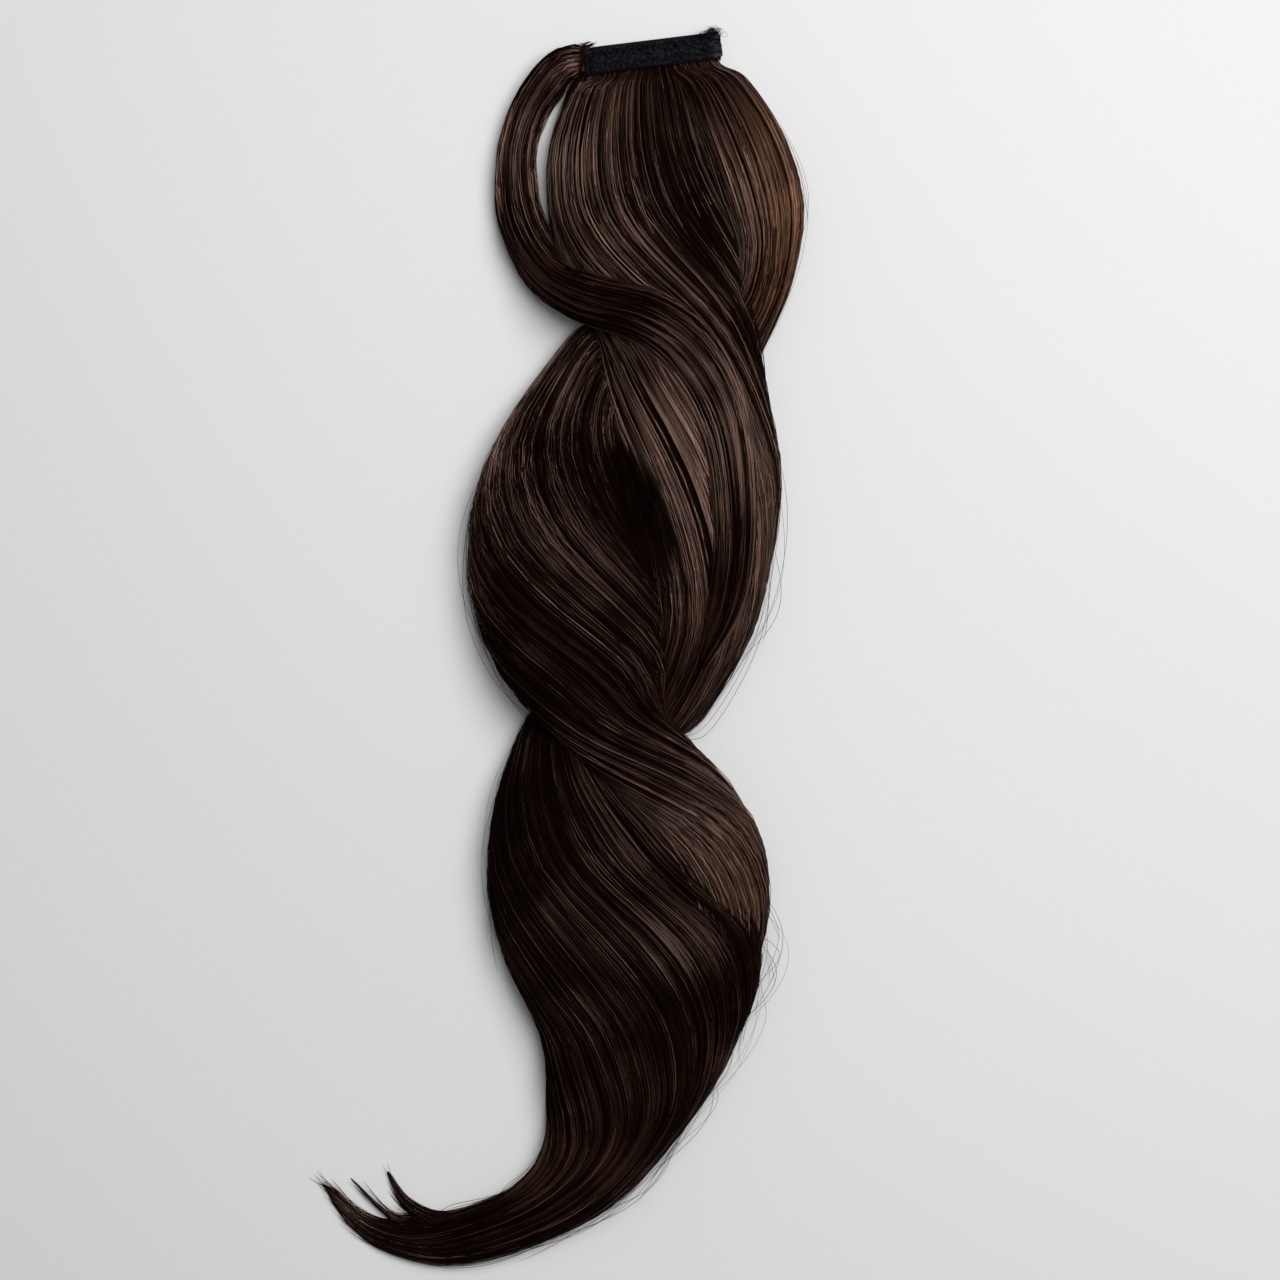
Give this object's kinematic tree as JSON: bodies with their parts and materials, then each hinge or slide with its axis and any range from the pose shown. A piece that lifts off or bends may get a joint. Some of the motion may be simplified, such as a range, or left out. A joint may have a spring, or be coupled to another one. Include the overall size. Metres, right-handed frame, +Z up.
{
  "type": "ponytail extension",
  "caption": "Long dark brown wrap-around hairpiece: thick locks twisted into soft bulges under a folded woven band with a fastener strip, and a slim wrapping lock.",
  "frame": {"origin": "middle of the underside, on the surface that the hairpiece lies on", "axes": "+Z up from the surface it lies on, +Y along the hairpiece towards the band, +X to the right as seen from above with the band at the top"},
  "size_m": [0.287, 0.7378, 0.0406],
  "materials": {
    "band_weave": "black woven tape, matt",
    "fastener_pile": "black brushed pile in lengthwise ribs, matt and fuzzy",
    "hair": "long dark brown fibres with a soft silky sheen"
  },
  "bodies": {
    "root": {"woven_band": "band_weave", "fastener_strip": "fastener_pile", "main_hair": "hair", "wrap_lock": "hair"}
  },
  "joints": []
}
